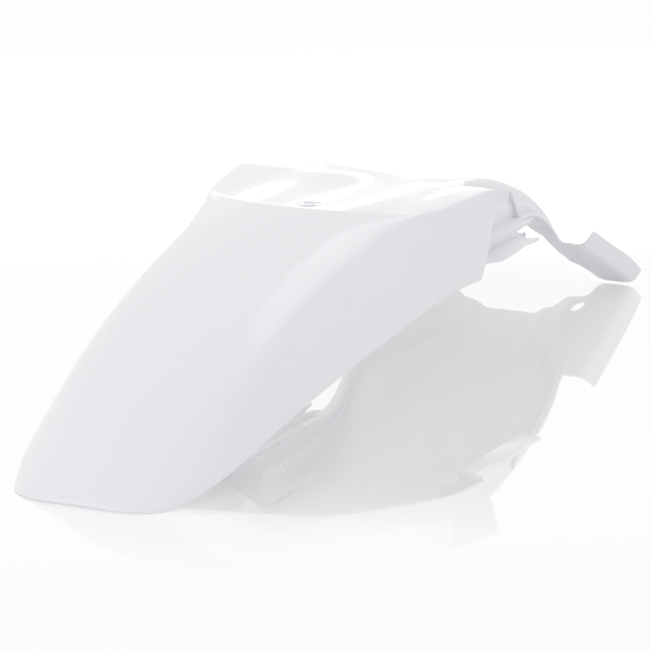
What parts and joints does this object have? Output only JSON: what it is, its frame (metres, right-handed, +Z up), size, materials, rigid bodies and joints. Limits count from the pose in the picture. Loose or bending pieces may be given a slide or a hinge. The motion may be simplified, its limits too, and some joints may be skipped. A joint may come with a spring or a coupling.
{
  "type": "motorcycle rear fender",
  "caption": "One-piece plastic rear fender for an off-road motorcycle: tapered tail panel, side walls, seat pocket and an arched front apron with bolt flanges.",
  "frame": {"origin": "centre of the fender's outline on the surface that it rests on", "axes": "+Y from the trailing edge towards the front apron, +Z up, X = 0 on the centre plane"},
  "size_m": [0.255, 0.738, 0.148],
  "materials": {
    "fender_plastic": "gloss white moulded plastic"
  },
  "bodies": {
    "root": {"rear_fender": "fender_plastic"}
  },
  "joints": []
}
